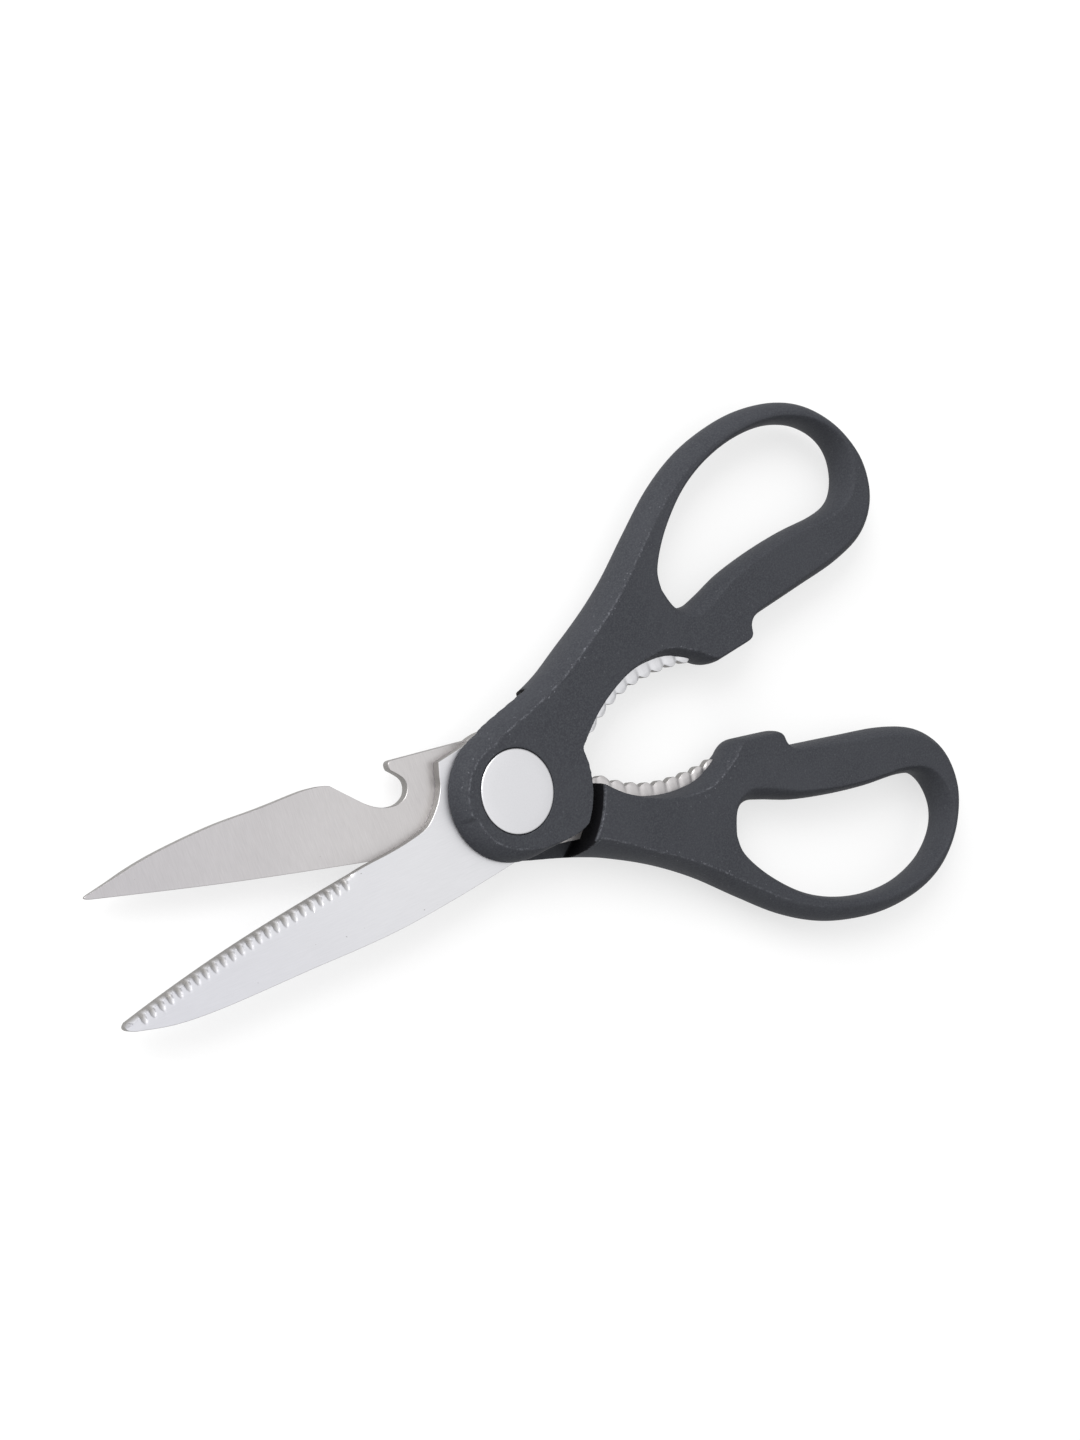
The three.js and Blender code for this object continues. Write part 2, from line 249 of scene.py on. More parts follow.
def smax(a, b, k):
    """Maximum of a and b with the corner rounded over k."""
    return np.maximum(a, b) + np.maximum(k - np.abs(a - b), 0) ** 2 / (4 * k)


CROWN = 1.10                       # the side's round is this much taller than the flat faces are
INSET = 1 / (1 - math.sqrt(1 - 1 / CROWN ** 2))     # full width of the round over w
BACK_ROUND = 0.35                  # near the pivot the back's round is this much wider
FIELD_STEP = 0.25
FIELD_BOX = (-18, 125, -20, 50)    # x from, x to, y from, y to


def band(s, w, z, H, wide, near):
    """Rounded side: a quarter ellipse that the flat face cuts off at a ridge, w in from the edge.
    s is the distance in from the edge and H half the thickness. The side is widest at the height
    wide, and near the pivot the back is rounder than the front."""
    dz = z - wide
    front = dz > 0
    a = np.where(front, w, w * (1 + BACK_ROUND * near)) * INSET
    b = CROWN * np.where(front, MID + H - wide, wide - MID + H)
    e = np.maximum(1 - s / a, 0)
    g = np.sqrt(e * e + (dz / b) ** 2) + 1e-6
    k = np.sqrt((e / a) ** 2 + (dz / (b * b)) ** 2) / g + 1e-6
    return (g - 1) / k


class HandleForm:
    """A handle as a function of space, negative inside."""

    def __init__(self, lower):
        self.outer = Field(handle_outline(lower), *FIELD_BOX, FIELD_STEP)
        self.hole = Field(hole_outline(), *FIELD_BOX, FIELD_STEP)

    def parts(self, x, y):
        so = -self.outer.at(x, y, self.outer.d)
        wo = self.outer.at(x, y, self.outer.w)
        sh = self.hole.at(x, y, self.hole.d)
        wh = self.hole.at(x, y, self.hole.w)
        t = np.clip((np.hypot(x, y) - STEP_R - 0.3) / 16, 0, 1)
        near = 1 - t * t * (3 - 2 * t)
        return so, wo, sh, wh, 0.5 * STACK * taper(x), near

    def value(self, x, y, z, plan=None):
        so, wo, sh, wh, H, near = self.parts(x, y) if plan is None else plan
        wide = MID + (BOSS_BOTTOM - MID) * near
        f = np.maximum(band(so, wo, z, H, wide, near), band(sh, wh, z, H, wide, near))
        f = smax(f, np.abs(z - MID) - H, 0.12)                 # flat faces, with a soft ridge
        r = np.hypot(x, y)
        step = smax(r - STEP_R, z - BOSS_BOTTOM, 0.3)          # room for the other boss
        f = smax(f, -step, 0.22)
        disc_seat = np.maximum(r - (CAP_R + 0.15), STACK - CAP_T - 0.1 - z)
        f = smax(f, -disc_seat, 0.16)
        head_seat = np.maximum(r - HEAD_R, STACK - CAP_T - HEAD_DEPTH - z)
        f = np.maximum(f, -head_seat)
        return np.maximum(f, BORE_R - r)


def surface(value, plan_of, lo, hi, h):
    """Closed quad mesh of value = 0 inside the box lo..hi on a grid of pitch h."""
    xs, ys, zs = (np.arange(lo[i], hi[i] + h, h) for i in range(3))
    gx, gy = np.meshgrid(xs, ys, indexing="ij")
    plan = plan_of(gx, gy)
    v = np.empty((len(xs), len(ys), len(zs)))
    for k, z in enumerate(zs):
        v[:, :, k] = value(gx, gy, z, plan)
    neg = v < 0
    cnt = np.zeros(tuple(s - 1 for s in v.shape), int)
    corners = [(i, j, k) for i in (0, 1) for j in (0, 1) for k in (0, 1)]
    sl = lambda a, i, j, k: a[i:a.shape[0] - 1 + i, j:a.shape[1] - 1 + j, k:a.shape[2] - 1 + k]
    for c in corners:
        cnt += sl(neg, *c)
    active = (cnt > 0) & (cnt < 8)
    idx = np.argwhere(active)
    num = -np.ones(active.shape, int)
    num[active] = np.arange(len(idx))
    pos, n = np.zeros((len(idx), 3)), np.zeros(len(idx))
    I, J, K = idx.T
    for a in corners:
        for ax in range(3):
            if a[ax]:
                continue
            b = list(a)
            b[ax] = 1
            va, vb = v[I + a[0], J + a[1], K + a[2]], v[I + b[0], J + b[1], K + b[2]]
            m = (va < 0) != (vb < 0)
            t = np.where(m, va / np.where(m, va - vb, 1), 0)
            q = np.array(a, float)[None, :].repeat(len(idx), 0)
            q[:, ax] += t
            pos[m] += q[m]
            n[m] += 1
    pos = (idx + pos / n[:, None]) * h + np.array([xs[0], ys[0], zs[0]])
    faces = []
    for ax in range(3):
        b, c = (ax + 1) % 3, (ax + 2) % 3
        lo_s = [slice(None)] * 3
        hi_s = [slice(None)] * 3
        lo_s[ax], hi_s[ax] = slice(0, -1), slice(1, None)
        n0, n1 = neg[tuple(lo_s)], neg[tuple(hi_s)]
        e = np.argwhere(n0 != n1)
        ok = np.all(e[:, [b, c]] > 0, 1) & (e[:, b] < num.shape[b]) & (e[:, c] < num.shape[c])
        e = e[ok]
        out = n0[tuple(e.T)]
        off = [(0, 0), (-1, 0), (-1, -1), (0, -1)]
        quad = []
        for db, dc in off:
            f = e.copy()
            f[:, b] += db
            f[:, c] += dc
            quad.append(num[tuple(f.T)])
        quad = np.stack(quad, 1)
        quad[~out] = quad[~out][:, ::-1]
        faces.append(quad[(quad >= 0).all(1)])
    return pos, np.concatenate(faces)


def refine(value, p, rounds=4, eps=0.02):
    """Moves points onto value = 0 and returns them with the surface's own normals."""
    def grad(q):
        g = np.zeros_like(q)
        for i in range(3):
            d = np.zeros(3)
            d[i] = eps
            a, b = q + d, q - d
            g[:, i] = (value(*a.T) - value(*b.T)) / (2 * eps)
        return g
    for _ in range(rounds):
        f = value(*p.T)
        g = grad(p)
        s = f / np.maximum((g * g).sum(1), 0.05)
        p = p - np.clip(s, -0.2, 0.2)[:, None] * g
    g = grad(p)
    return p, g / (np.linalg.norm(g, axis=1)[:, None] + 1e-9)


def quad_mesh(name, p, faces, normals):
    """Smooth mesh of quads with the given normals."""
    me = bpy.data.meshes.new(name)
    me.vertices.add(len(p))
    me.vertices.foreach_set("co", np.ascontiguousarray(p, np.float32).ravel())
    k = faces.shape[1]
    me.loops.add(faces.size)
    me.loops.foreach_set("vertex_index", np.ascontiguousarray(faces, np.int32).ravel())
    me.polygons.add(len(faces))
    me.polygons.foreach_set("loop_start", np.arange(len(faces), dtype=np.int32) * k)
    me.polygons.foreach_set("loop_total", np.full(len(faces), k, np.int32))
    me.polygons.foreach_set("use_smooth", np.ones(len(faces), bool))
    me.update(calc_edges=True)
    me.validate()
    me.normals_split_custom_set_from_vertices([tuple(v) for v in normals])
    ob = bpy.data.objects.new(name, me)
    bpy.context.scene.collection.objects.link(ob)
    return ob


def set_attr(ob, name, values):
    """A number at each point, which the materials read by name."""
    at = ob.data.attributes.new(name, "FLOAT", "POINT")
    at.data.foreach_set("value", np.ascontiguousarray(values, np.float32))


# ---- handles ----------------------------------------------------------------------------
PITCH = 0.4
SOLVE_FROM, SOLVE_TO = (-16, -17, -0.9), (123, 48, 14.1)


def handle(name, place, node, body, lower):
    form = HandleForm(lower)
    hp, hf = surface(form.value, form.parts, SOLVE_FROM, SOLVE_TO, PITCH)
    hp, hn = refine(form.value, hp)
    so, wo, _, _, H, near = form.parts(hp[:, 0], hp[:, 1])
    flat_z = np.abs(hp[:, 2] - MID) > 0.8 * H
    w = np.where(hp[:, 2] > MID, wo, wo * (1 + BACK_ROUND * near))
    r = np.hypot(hp[:, 0], hp[:, 1])
    step_edge = (np.abs(r - STEP_R) < 1.0) & (hp[:, 2] < 1.5)
    # edge_away is the distance to the nearest marked edge (the ridge, or the step's edge), and
    # edge_rub_and_sheen says how strong the pale line is there: partly wear, partly a painted
    # highlight
    away = np.where(step_edge, r - STEP_R - 0.1, so - w)
    fade = np.clip((wo - 1.2) / 0.5, 0, 1) * np.clip((78 - hp[:, 0]) / 25, 0, 1)
    rub_and_sheen = np.where(step_edge, 1.0, flat_z * fade)
    # painted shade: marks the step's wall, which the material paints near black for the shadow in
    # the narrow gap beside the other boss
    step_wall_painted_shade = (np.abs(r - STEP_R) < 0.5) & (hp[:, 2] > 0.6) & (hp[:, 2] < BOSS_BOTTOM + 0.3)
    n = place(hn) - place(np.zeros((1, 3)))
    n /= np.linalg.norm(n, axis=1)[:, None]
    ob = quad_mesh(name, place(hp), hf, n)
    set_attr(ob, "edge_away", away)
    set_attr(ob, "edge_rub_and_sheen", rub_and_sheen)
    set_attr(ob, "recess_painted_shade", step_wall_painted_shade)
    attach(ob, body)
    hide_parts(node)
    return ob


handle_u = handle("handle_upper_moulding", place_upper, "handle_upper", "half_upper", False)
handle_l = handle("handle_lower_moulding", place_lower, "handle_lower", "half_lower", True)


# ---- blades -----------------------------------------------------------------------------
SERR_PITCH = 2.2                   # ground serrations, from the pivot's side to the tip
SERR_X0 = -41.4
SERR_X1 = SERR_X0 - 24 * SERR_PITCH
SERR_LENGTH = 2.5
HOLLOW_IN, HOLLOW_DEPTH = 2.6, 0.18        # hollow grind beside the serrated edge
BEVEL_IN, BEVEL_DEPTH = 0.6, 1.3           # and its steep cutting bevel
GRIND_IN, GRIND_DEPTH = 4.5, 1.7           # grind of the opener blade's edge


def edge_a(x):
    """Cutting edge of the serrated blade."""
    d = x + 60
    return 2.62 - d * d / np.where(d > 0, 1800, 700)


def tooth_tip(x):
    """Line through the tips of the nutcracker teeth."""
    d = x - 40.6
    return 5.25 - d * d / np.where(d < 0, 56, 100)


def teeth(s):
    steps = 10
    for i in range(TOOTH_N * steps + 1):
        u = i / steps
        x = TOOTH_X0 + u * TOOTH_PITCH
        notch = 1 - abs(math.sin(math.pi * u))
        s.p.append((x, float(tooth_tip(x)) + TOOTH_DEPTH * notch, 0))


def tang(s):
    """Teeth and the part inside the handle, from the pivot's far side back to the blade's back."""
    s.line(17.2, -1.0)
    s.line(20.5, 0.6)
    s.line(22.6, 1.4)
    teeth(s)
    s.line(57.6, 5.0)
    s.line(72.0, 7.4)
    s.quad(75.6, 8.8, 72.4, 11.0)
    s.line(60.0, 11.0)
    s.quad(53.0, 11.2, 50.4, 16.4)
    s.quad(47.6, 20.6, 43.2, 18.8)
    s.line(30.0, 15.6)
    s.line(18.0, 13.4)


def blade_a():
    """Serrated blade: notch, cutting edge, tip, back, tang."""
    s = Outline(0, 13.2)
    s.line(-11.6, 12.9, n=8)
    s.spline([(-12.75, 10.4), (-13.8, 8.0), (-16.4, 5.0), (-20.1, 2.6), (-24.4, 2.0), (-30, 2.0),
              (-36.6, 2.4), (-40.2, 2.4)], n=8)
    for x in np.arange(-40.4, -96.3, -0.22):
        s.line(float(x), float(edge_a(x)))
    s.line(-96.4, 0.75)
    s.quad(-98.4, -0.2, -95.7, -1.6, n=14)
    s.spline([(-87.4, -4.7), (-76.4, -7.0), (-56.8, -9.75), (-45.0, -11.5), (-34.5, -12.7),
              (-22.0, -13.35), (-12.0, -13.55), (-4.6, -13.6)], n=8)
    s.arc(0, 0, 13.6, -108, -62)
    s.line(15.4, -7.0)
    tang(s)
    return s.points()


def blade_b():
    """Opener blade: cutting edge, tip, back, scoop, hook, tang."""
    s = Outline(0, 12.9)
    s.arc(0, 0, 12.9, 90, 150)
    s.line(-20, 8.5)
    s.line(-33.3, 7.45, n=10)
    s.spline([(-64.3, 5.0), (-94.1, 1.9)], n=30)
    s.quad(-96.6, 1.5, -94.7, 0.85, n=12)
    s.spline([(-90.4, -0.5), (-80.1, -3.75), (-66.7, -6.55), (-55.2, -7.95), (-45.9, -9.3),
              (-42.0, -9.5)], n=10)
    s.quad(-40.4, -9.5, -39.2, -9.1)
    s.line(-34.8, -5.95, n=5)
    s.spline([(-31.6, -3.8), (-28.6, -2.6), (-25.0, -2.4), (-22.6, -3.6), (-21.7, -5.6),
              (-22.3, -7.5), (-24.9, -9.6)], n=10)
    s.quad(-25.6, -11.3, -24.1, -11.5)
    s.line(-5.8, -12.15, n=10)
    s.arc(0, 0, 13.4, -115.6, -62)
    s.line(15.4, -7.0)
    tang(s)
    return s.points()


def inward(poly, d):
    """poly, which runs anticlockwise, moved in by d at every corner."""
    a, b, c = np.roll(poly, 1, 0)[:, :2], poly[:, :2], np.roll(poly, -1, 0)[:, :2]
    e0, e1 = b - a, c - b
    n0 = np.stack([-e0[:, 1], e0[:, 0]], 1) / np.linalg.norm(e0, axis=1)[:, None]
    n1 = np.stack([-e1[:, 1], e1[:, 0]], 1) / np.linalg.norm(e1, axis=1)[:, None]
    m = n0 + n1
    m /= np.linalg.norm(m, axis=1)[:, None] + 1e-9
    k = 1 / np.clip((m * n1).sum(1), 0.55, 1)
    return b + m * (d * k)[:, None]


def plate(outline, top, bottom, extra, chamfer=0.1, grid=1.3):
    """Flat stamping with the pivot's bore: fine triangles over the outline, faces at top(x, y) and
    bottom(x, y). Returns points, faces and, for each point, 1 on the cut wall and 0 elsewhere."""
    rim = outline[:, :2]
    ins = inward(outline, chamfer)
    lo, hi = rim.min(0), rim.max(0)
    gx, gy = np.meshgrid(np.arange(lo[0] + 0.4, hi[0], grid), np.arange(lo[1] + 0.4, hi[1], grid),
                         indexing="ij")
    inner = np.stack([gx.ravel(), gy.ravel()], 1)
    inner = np.concatenate([inner, extra])
    f = Field(outline, lo[0] - 1, hi[0] + 1, lo[1] - 1, hi[1] + 1, FIELD_STEP)
    inner = inner[-f.at(inner[:, 0], inner[:, 1], f.d) > 0.28]
    bore = np.array([(BORE_R * math.cos(t), BORE_R * math.sin(t))
                     for t in np.linspace(0, 2 * math.pi, 49)[:-1]])
    inner = inner[np.hypot(inner[:, 0], inner[:, 1]) > BORE_R + 0.35]
    n, m = len(ins), len(bore)
    pts = np.concatenate([ins, bore, inner])
    edges = [(i, (i + 1) % n) for i in range(n)]
    edges += [(n + i, n + (i + 1) % m) for i in range(m)]
    co, _, tri, vo, _, _ = delaunay_2d_cdt([Vector(p) for p in pts], edges, [], 0, 1e-6)
    co = np.array([tuple(c) for c in co])
    tri = np.array([t for t in tri if len(t) == 3])
    where = {}
    for new, olds in enumerate(vo):
        for o in olds:
            where[o] = new
    cen = co[tri].mean(1)
    tri = tri[in_poly(cen, ins) & ~in_poly(cen, bore)]
    a, b, c = co[tri[:, 0]], co[tri[:, 1]], co[tri[:, 2]]
    ab, ac = b - a, c - a
    ccw = ab[:, 0] * ac[:, 1] - ab[:, 1] * ac[:, 0] > 0
    tri[~ccw] = tri[~ccw][:, ::-1]
    N = len(co)
    zt, zb = top(co[:, 0], co[:, 1]), bottom(co[:, 0], co[:, 1])
    V = [np.column_stack([co, zt]), np.column_stack([co, zb])]
    rt, rb = top(rim[:, 0], rim[:, 1]), bottom(rim[:, 0], rim[:, 1])
    cc = np.minimum(chamfer, (rt - rb) * 0.3)
    V.append(np.column_stack([rim, rt - cc]))
    V.append(np.column_stack([rim, rb + cc]))
    F = [list(t) for t in tri] + [[t[2] + N, t[1] + N, t[0] + N] for t in tri]
    o2, o3 = 2 * N, 2 * N + n
    for i in range(n):
        j = (i + 1) % n
        ti, tj = where[i], where[j]
        F.append([o2 + i, o2 + j, tj, ti])
        F.append([o3 + i, o3 + j, o2 + j, o2 + i])
        F.append([ti + N, tj + N, o3 + j, o3 + i])
    for i in range(m):
        j = (i + 1) % m
        ti, tj = where[n + i], where[n + j]
        F.append([ti, tj, tj + N, ti + N])
    cut = np.zeros(2 * N + 2 * n)
    cut[2 * N:] = 1
    return np.concatenate(V), F, cut


def in_poly(q, poly):
    """Which of the points q lie inside poly."""
    inside = np.zeros(len(q), bool)
    a, b = poly, np.roll(poly, -1, 0)
    for i in range(len(a)):
        (ax, ay), (bx, by) = a[i][:2], b[i][:2]
        if ay == by:
            continue
        up = (ay > q[:, 1]) != (by > q[:, 1])
        inside ^= up & (q[:, 0] < ax + (q[:, 1] - ay) * (bx - ax) / (by - ay))
    return inside


def sharp_mesh(name, p, faces, place, angle=32):
    """Mesh that is smooth except over edges that bend more than angle, in degrees."""
    me = bpy.data.meshes.new(name)
    me.from_pydata([tuple(v) for v in place(p)], [], [tuple(int(i) for i in f) for f in faces])
    me.validate()
    me.polygons.foreach_set("use_smooth", np.ones(len(me.polygons), bool))
    me.set_sharp_from_angle(angle=math.radians(angle))
    me.update()
    ob = bpy.data.objects.new(name, me)
    bpy.context.scene.collection.objects.link(ob)
    return ob


def serration(x, y, half, depth):
    """Row of ground grooves that run in from the edge and come out to nothing at their ends."""
    s = edge_a(x) - y                                 # distance in from the edge
    k = np.abs((SERR_X0 - x) / SERR_PITCH % 1 - 0.5) * SERR_PITCH    # from a groove's middle line
    r = k / half / np.sqrt(np.clip(1 - (s / SERR_LENGTH) ** 3, 1e-4, 1))
    on = np.clip((SERR_X0 - x) / 0.3, 0, 1) * np.clip((x - SERR_X1) / 0.3, 0, 1)
    return np.sqrt(np.clip(1 - r * r, 0, 1)) * depth * np.clip(1.2 - s / SERR_LENGTH, 0, 1) * on


def flutes(x, y):
    """Scallops ground down the faces of the teeth, deepest in the notches between them."""
    u = (x - TOOTH_X0) / TOOTH_PITCH
    k = np.abs(u - np.round(u)) * TOOTH_PITCH
    s = y - tooth_tip(x)
    on = np.clip((x - 23.0) / 1.0, 0, 1) * np.clip((57.0 - x) / 1.0, 0, 1) * (np.abs(s) < 6)
    scallop = 0.34 * np.exp(-(k / 0.6) ** 2) * np.clip(1 - s / 4.2, 0, 1)
    return (scallop + 0.25 * np.clip(1 - s / 1.0, 0, 1)) * on


def top_a(x, y):
    s = edge_a(x) - y
    on = np.clip((-39.4 - x) / 4.0, 0, 1)
    z = BLADE_TOP - np.clip(1 - s / HOLLOW_IN, 0, 1) * HOLLOW_DEPTH * on
    z = z - np.clip(1 - s / BEVEL_IN, 0, 1) * BEVEL_DEPTH * on
    z = z - serration(x, y, 0.70, 0.42)
    return np.maximum(z - flutes(x, y), BLADE_Z + 0.12)


def under_a(x, y):
    return np.full(np.shape(x), BLADE_Z)


def under_b(x, y):
    return BLADE_Z + flutes(x, y)


def edge_b(x):
    """Cutting edge of the opener blade."""
    return np.interp(x, [-94.1, -64.3, -33.3], [1.9, 5.0, 7.45])


def top_b(x, y):
    s = edge_b(x) - y
    on = np.clip((-33.5 - x) / 1.5, 0, 1)
    z = BLADE_TOP - np.clip(1 - s / GRIND_IN, 0, 1) * GRIND_DEPTH * on
    return np.maximum(z, BLADE_Z + 0.25)


def strip(edge, x0, x1, depths, step):
    """Extra points along lines that run beside an edge."""
    xs = np.arange(x0, x1, step)
    return np.concatenate([np.column_stack([xs, edge(xs) - d]) for d in depths])


def tooth_rows():
    """Extra points in rows that follow the teeth."""
    rows = []
    for d in (0.25, 0.6, 1.0, 1.5, 2.1, 2.8, 3.6):
        xs = np.arange(23.5, 56.8, 0.3)
        notch = 1 - np.abs(np.sin(np.pi * (xs - TOOTH_X0) / TOOTH_PITCH))
        rows.append(np.column_stack([xs, tooth_tip(xs) + TOOTH_DEPTH * notch + d]))
    return np.concatenate(rows)


edge_rows = strip(edge_a, -95.5, -39.0, [0.35, 0.75, 1.1, 1.4, 1.7, 1.9, 2.1, 2.3, 2.6, 3.2], 0.17)
pa, fa, cut_a = plate(blade_a(), top_a, under_a, np.concatenate([edge_rows, tooth_rows()]))
top_side = pa[:, 2] > BLADE_Z + 0.05
# the grooves and the edge bevel join the cut walls in the mask that makes the steel rougher and
# paints it darker as painted shade
ground = serration(pa[:, 0], pa[:, 1], 0.72, 1.15)
bevel = np.clip(1.3 - (edge_a(pa[:, 0]) - pa[:, 1]) / BEVEL_IN, 0, 1) * (pa[:, 0] < -40.5)
blade_u = sharp_mesh("blade_serrated_ground", pa, fa, place_upper)
set_attr(blade_u, "cut", np.maximum(cut_a, top_side * np.minimum(np.maximum(ground, bevel), 1)))
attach(blade_u, "half_upper")
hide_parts("blade_serrated")

edge_rows = strip(edge_b, -94.0, -33.3, [0.5, 1.5, 3.0, 4.5], 0.8)
pb, fb, cut_b = plate(blade_b(), top_b, under_b, np.concatenate([edge_rows, tooth_rows()]))
blade_l = sharp_mesh("blade_opener_ground", pb, fb, place_lower)
set_attr(blade_l, "cut", cut_b)
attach(blade_l, "half_lower")
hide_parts("blade_opener")


# ---- cover discs ------------------------------------------------------------------------
def disc(name, place, node, body):
    """Cover disc: chamfered below, a rolled edge and a slight crown on top."""
    prof = [(CAP_R - 0.35, STACK - CAP_T), (CAP_R, STACK - CAP_T + 0.3), (CAP_R, STACK - 0.34),
            (CAP_R - 0.03, STACK - 0.2), (CAP_R - 0.12, STACK - 0.09), (CAP_R - 0.28, STACK - 0.03),
            (CAP_R - 0.5, STACK), (6.0, STACK + 0.06), (3.0, STACK + 0.09)]
    n = 128
    p, f = [], []
    for r, z in prof:
        p += [(r * math.cos(2 * math.pi * i / n), r * math.sin(2 * math.pi * i / n), z)
              for i in range(n)]
    for k in range(len(prof) - 1):
        for i in range(n):
            j = (i + 1) % n
            f.append([k * n + i, k * n + j, (k + 1) * n + j, (k + 1) * n + i])
    p += [(0, 0, STACK + 0.1), (0, 0, STACK - CAP_T)]
    last = (len(prof) - 1) * n
    for i in range(n):
        j = (i + 1) % n
        f.append([last + i, last + j, len(p) - 2])
        f.append([j, i, len(p) - 1])
    ob = sharp_mesh(name, np.array(p), f, place, 50)
    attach(ob, body)
    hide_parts(node)
    return ob


disc_f = disc("cover_disc_front", place_upper, "cap_front", "half_upper")
disc_r = disc("cover_disc_rear", place_lower, "cap_rear", "half_lower")


# ---- materials --------------------------------------------------------------------------
FLOAT_A, FLOAT_B = 2, 3                    # sockets of a Mix node that mixes numbers
COLOR_A, COLOR_B, COLOR_OUT = 6, 7, 2      # and of one that mixes colours


def srgb(r, g, b):
    f = lambda c: (c / 255 / 12.92) if c / 255 <= 0.04045 else ((c / 255 + 0.055) / 1.055) ** 2.4
    return (f(r), f(g), f(b), 1)


class Look:
    """A Principled material, and short ways to make the nodes that feed it."""

    def __init__(self, name):
        self.mat = bpy.data.materials.new(name)
        self.mat.use_nodes = True
        self.tree = self.mat.node_tree
        self.sockets = self.tree.nodes["Principled BSDF"].inputs
        self.position = None

    def node(self, kind, **settings):
        n = self.tree.nodes.new(kind)
        for k, v in settings.items():
            if k in n.inputs:
                n.inputs[k].default_value = v
            else:
                setattr(n, k, v)
        return n

    def feed(self, socket, v):
        """Links an output to a socket, or sets the socket to a plain value."""
        if isinstance(v, bpy.types.NodeSocket):
            self.tree.links.new(v, socket)
        else:
            socket.default_value = v

    def where(self):
        if self.position is None:
            self.position = self.node("ShaderNodeTexCoord").outputs["Object"]
        return self.position

    def noise(self, scale, detail, rough, vector=None):
        n = self.node("ShaderNodeTexNoise", Scale=scale, Detail=detail, Roughness=rough)
        self.feed(n.inputs["Vector"], self.where() if vector is None else vector)
        return n.outputs["Fac"]

    def attribute(self, name):
        return self.node("ShaderNodeAttribute", attribute_name=name).outputs["Fac"]

    def math(self, operation, *values):
        n = self.node("ShaderNodeMath", operation=operation)
        for socket, v in zip(n.inputs, values):
            self.feed(socket, v)
        return n.outputs[0]

    def ranged(self, v, lo, hi, to_lo=0.0, to_hi=1.0, kind="SMOOTHSTEP"):
        n = self.node("ShaderNodeMapRange", interpolation_type=kind)
        for k, x in (("From Min", lo), ("From Max", hi), ("To Min", to_lo), ("To Max", to_hi)):
            n.inputs[k].default_value = x
        self.feed(n.inputs["Value"], v)
        return n.outputs["Result"]

    def mixed(self, fac, a, b, blend="MIX"):
        n = self.node("ShaderNodeMix", data_type="RGBA", blend_type=blend)
        for i, v in ((0, fac), (COLOR_A, a), (COLOR_B, b)):
            self.feed(n.inputs[i], v)
        return n.outputs[COLOR_OUT]

    def bump(self, height, strength, distance):
        n = self.node("ShaderNodeBump", Strength=strength, Distance=distance)
        self.feed(n.inputs["Height"], height)
        self.feed(self.sockets["Normal"], n.outputs["Normal"])


def plastic_look():
    """Matte charcoal plastic: fine grain, a broken pale line along the ridges that is partly wear
    and partly a painted highlight, a few specks.
    """
    k = Look("handle_plastic")
    cloud = k.noise(70.0, 3.0, 0.6)
    grain = k.noise(2600.0, 2.0, 0.6)
    speck = k.noise(1500.0, 1.0, 0.5)
    base = k.mixed(k.ranged(cloud, 0.3, 0.7), srgb(55, 56, 61), srgb(60, 61, 66))
    base = k.mixed(k.ranged(grain, 0.35, 0.7), base, srgb(66, 68, 72))
    away = k.math("ABSOLUTE", k.attribute("edge_away"))
    rub_and_sheen = k.attribute("edge_rub_and_sheen")
    # thin pale line along the ridges, broken up by noise: partly wear, partly a painted highlight
    line = k.math("MULTIPLY", k.ranged(away, 0.02, 0.34, 1.0, 0.0), rub_and_sheen)
    halo = k.math("MULTIPLY", k.ranged(away, 0.1, 2.2, 1.0, 0.0), rub_and_sheen)
    broken = k.ranged(k.noise(1100.0, 4.0, 0.8), 0.42, 0.70)
    rub_line_and_highlight = k.math("MULTIPLY", line, broken)
    dust_here = k.math("ADD", k.math("MULTIPLY", halo, 0.7), 0.22)
    dust = k.math("MULTIPLY", k.ranged(speck, 0.70, 0.76), dust_here)
    rub_sheen_and_dust = k.math("MAXIMUM", k.math("MULTIPLY", rub_line_and_highlight, 0.40), k.math("MULTIPLY", dust, 0.42))
    # the pale colour here is dust specks, plus a ridge line that is partly wear and partly a
    # painted highlight
    base = k.mixed(rub_sheen_and_dust, base, srgb(138, 139, 146))
    # painted shade: the step's wall is painted near black for the shadow in the narrow gap beside
    # the other boss
    base = k.mixed(k.attribute("recess_painted_shade"), base, srgb(20, 20, 23))
    k.feed(k.sockets["Base Color"], base)
    k.feed(k.sockets["Roughness"], k.ranged(cloud, 0.2, 0.8, 0.55, 0.66))
    k.feed(k.sockets["Specular IOR Level"], 0.08)
    k.bump(grain, 0.35, 0.00005)
    return k.mat


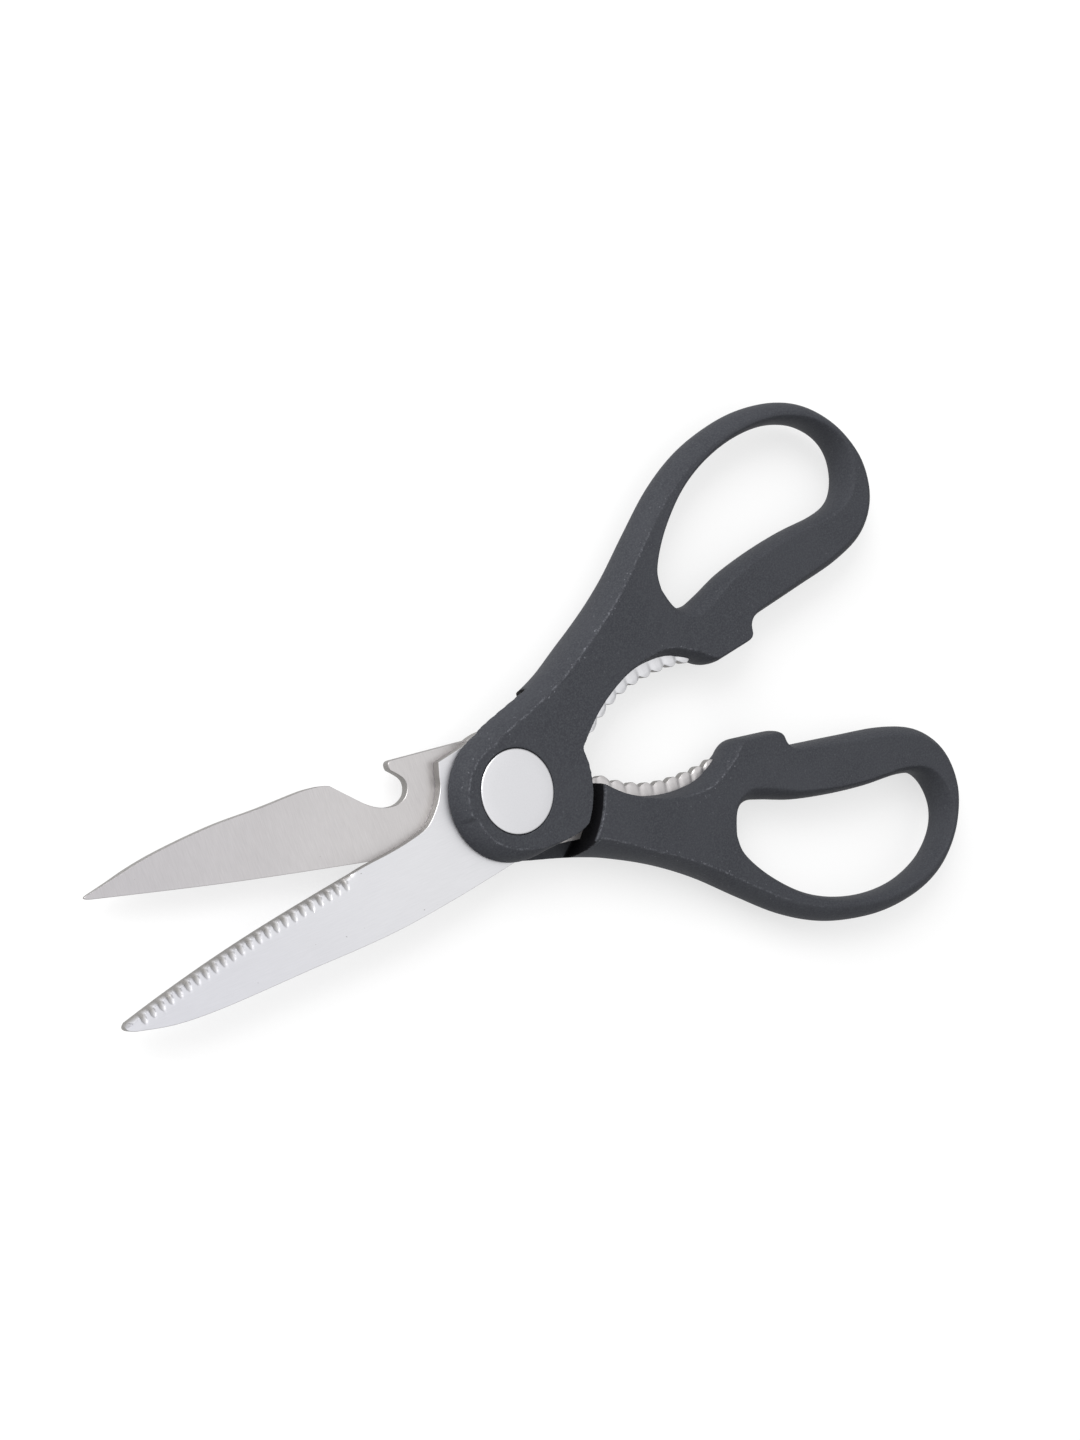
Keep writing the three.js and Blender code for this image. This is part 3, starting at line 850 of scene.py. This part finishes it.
def steel_look(name, base, spread, rough, scale, angle, bump_by, pits_above):
    """Ground steel. scale and angle, in degrees, lay out the grinding streaks, spread is how far
    the colour strays from base, and where a noise is over pits_above there is a small pit."""
    k = Look(name)
    grinding = k.node("ShaderNodeMapping", Rotation=(0, 0, math.radians(angle)), Scale=scale)
    k.feed(grinding.inputs["Vector"], k.where())
    streak = k.noise(1.0, 5.0, 0.65, grinding.outputs["Vector"])
    cloud = k.noise(55.0, 3.0, 0.6)
    both = k.node("ShaderNodeMix", data_type="FLOAT")
    for i, v in ((0, 0.35), (FLOAT_A, streak), (FLOAT_B, cloud)):
        k.feed(both.inputs[i], v)
    ramp = k.node("ShaderNodeValToRGB")
    stops = ramp.color_ramp.elements
    for stop, position, away in ((stops[0], 0.32, -spread), (stops[1], 0.68, spread)):
        stop.position = position
        stop.color = srgb(*(np.array(base, float) + away))
    k.feed(ramp.inputs["Fac"], both.outputs[0])
    # painted shade: the colour is multiplied darker towards the blades' tips, along X
    along = k.node("ShaderNodeSeparateXYZ")
    k.feed(along.inputs[0], k.where())
    tip_painted_shade = k.ranged(along.outputs["X"], -0.025, -0.085, kind="LINEAR")
    color = k.mixed(tip_painted_shade, ramp.outputs["Color"], (0.90, 0.90, 0.925, 1), "MULTIPLY")
    pit = k.ranged(k.noise(720.0, 1.0, 0.5), pits_above, pits_above + 0.03, kind="LINEAR")
    color = k.mixed(pit, color, srgb(150, 148, 146))
    cut = k.attribute("cut")                   # cut walls and ground-in surfaces are rougher, and their colour is painted darker as painted shade
    k.feed(k.sockets["Base Color"], k.mixed(cut, color, srgb(152, 150, 148)))
    k.feed(k.sockets["Metallic"], 1.0)
    polish = k.ranged(streak, 0.0, 1.0, rough - 0.06, rough + 0.08, kind="LINEAR")
    k.feed(k.sockets["Roughness"], k.math("MULTIPLY_ADD", cut, 0.18, polish))
    k.bump(streak, bump_by, 0.00003)
    return k.mat


plastic = plastic_look()
steel_a = steel_look("blade_steel_cool", (232, 232, 235), 4, 0.40, (260, 5200, 260), 0, 0.05, 0.80)
steel_b = steel_look("blade_steel_warm", (211, 208, 208), 8, 0.42, (4200, 300, 300), 35, 0.10, 0.81)
satin = steel_look("disc_satin", (228, 228, 231), 3, 0.42, (3000, 3000, 3000), 0, 0.03, 0.95)
bolt = steel_look("fastener_steel", (190, 190, 190), 6, 0.35, (1500, 1500, 300), 0, 0.08, 0.82)
for ob, m in ((handle_u, plastic), (handle_l, plastic), (blade_u, steel_a), (blade_l, steel_b),
              (disc_f, satin), (disc_r, satin)):
    ob.data.materials.clear()
    ob.data.materials.append(m)
for n in ("pivot_screw", "pivot_nut", "washer"):
    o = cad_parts[n]
    if not o.material_slots:
        o.data.materials.append(bolt)
    for s in o.material_slots:
        s.link = "OBJECT"
        s.material = bolt

# ---- camera -----------------------------------------------------------------------------
THETA = math.radians(32.79)            # the view is this far from the pivot axis
DIST = 0.5701                          # camera to pivot
BIS = math.radians(15.25)              # the object's X axis in the view's plane
ROLL = math.radians(4.753)
LENS, SENSOR = 69.6377, 36             # millimetres
SHIFT = (0.015181, 0.049514)           # the pivot is this far left of and below the middle
cam_data = bpy.data.cameras.new("camera")
cam = bpy.data.objects.new("camera", cam_data)
bpy.context.scene.collection.objects.link(cam)
cam_data.sensor_width = SENSOR
cam_data.lens = LENS
cam_data.clip_start = 0.01
cam_data.clip_end = 20
aim = Vector((0, 0, STACK * MM))
rz = Matrix.Rotation(-BIS, 3, "Z")
back = rz @ Vector((-math.sin(THETA), 0, math.cos(THETA)))
right = rz @ Vector((math.cos(THETA), 0, math.sin(THETA)))
up = rz @ Vector((0, 1, 0))
cr, sr = math.cos(ROLL), math.sin(ROLL)
cam_x = right * cr - up * sr
cam_y = right * sr + up * cr
pose = Matrix((cam_x, cam_y, back)).transposed().to_4x4()
pose.translation = aim + back * DIST
cam.matrix_world = pose
cam_data.shift_x, cam_data.shift_y = SHIFT
bpy.context.scene.camera = cam

# ---- floor and light --------------------------------------------------------------------
bpy.ops.mesh.primitive_plane_add(size=6, location=(0, 0, -0.0002))
floor = bpy.context.object
floor.name = "floor"
white = Look("floor_white")
for socket, v in (("Base Color", (0.35, 0.35, 0.35, 1)), ("Roughness", 0.9),
                  ("Emission Color", (1, 1, 1, 1)), ("Emission Strength", 0.62)):
    white.feed(white.sockets[socket], v)
floor.data.materials.append(white.mat)


def area(name, loc, size, power, target=(0.02, 0, 0)):
    d = bpy.data.lights.new(name, "AREA")
    d.shape = "SQUARE"
    d.size = size
    d.energy = power
    o = bpy.data.objects.new(name, d)
    bpy.context.scene.collection.objects.link(o)
    o.location = loc
    o.rotation_euler = (Vector(target) - Vector(loc)).to_track_quat("-Z", "Y").to_euler()


def seen(x, y, z):
    """A point x to the picture's right of the pivot, y up and z towards the camera, in metres."""
    return aim + cam_x * x + cam_y * y + back * z


area("key", seen(-0.3, 0.8, 1.1), 1.0, 19.5)
world = bpy.data.worlds.new("studio")              # dim at the horizon, bright overhead
bpy.context.scene.world = world
world.use_nodes = True
wn = world.node_tree
sky = wn.nodes.new("ShaderNodeTexCoord")
up_part = wn.nodes.new("ShaderNodeSeparateXYZ")
wn.links.new(sky.outputs["Generated"], up_part.inputs[0])
fade = wn.nodes.new("ShaderNodeMapRange")
for k, v in (("From Min", 0.0), ("From Max", 0.85), ("To Min", 0.10), ("To Max", 1.0)):
    fade.inputs[k].default_value = v
wn.links.new(up_part.outputs["Z"], fade.inputs["Value"])
wn.nodes["Background"].inputs[0].default_value = (1, 1, 1, 1)
wn.links.new(fade.outputs["Result"], wn.nodes["Background"].inputs[1])
bpy.context.scene.view_settings.view_transform = "Standard"
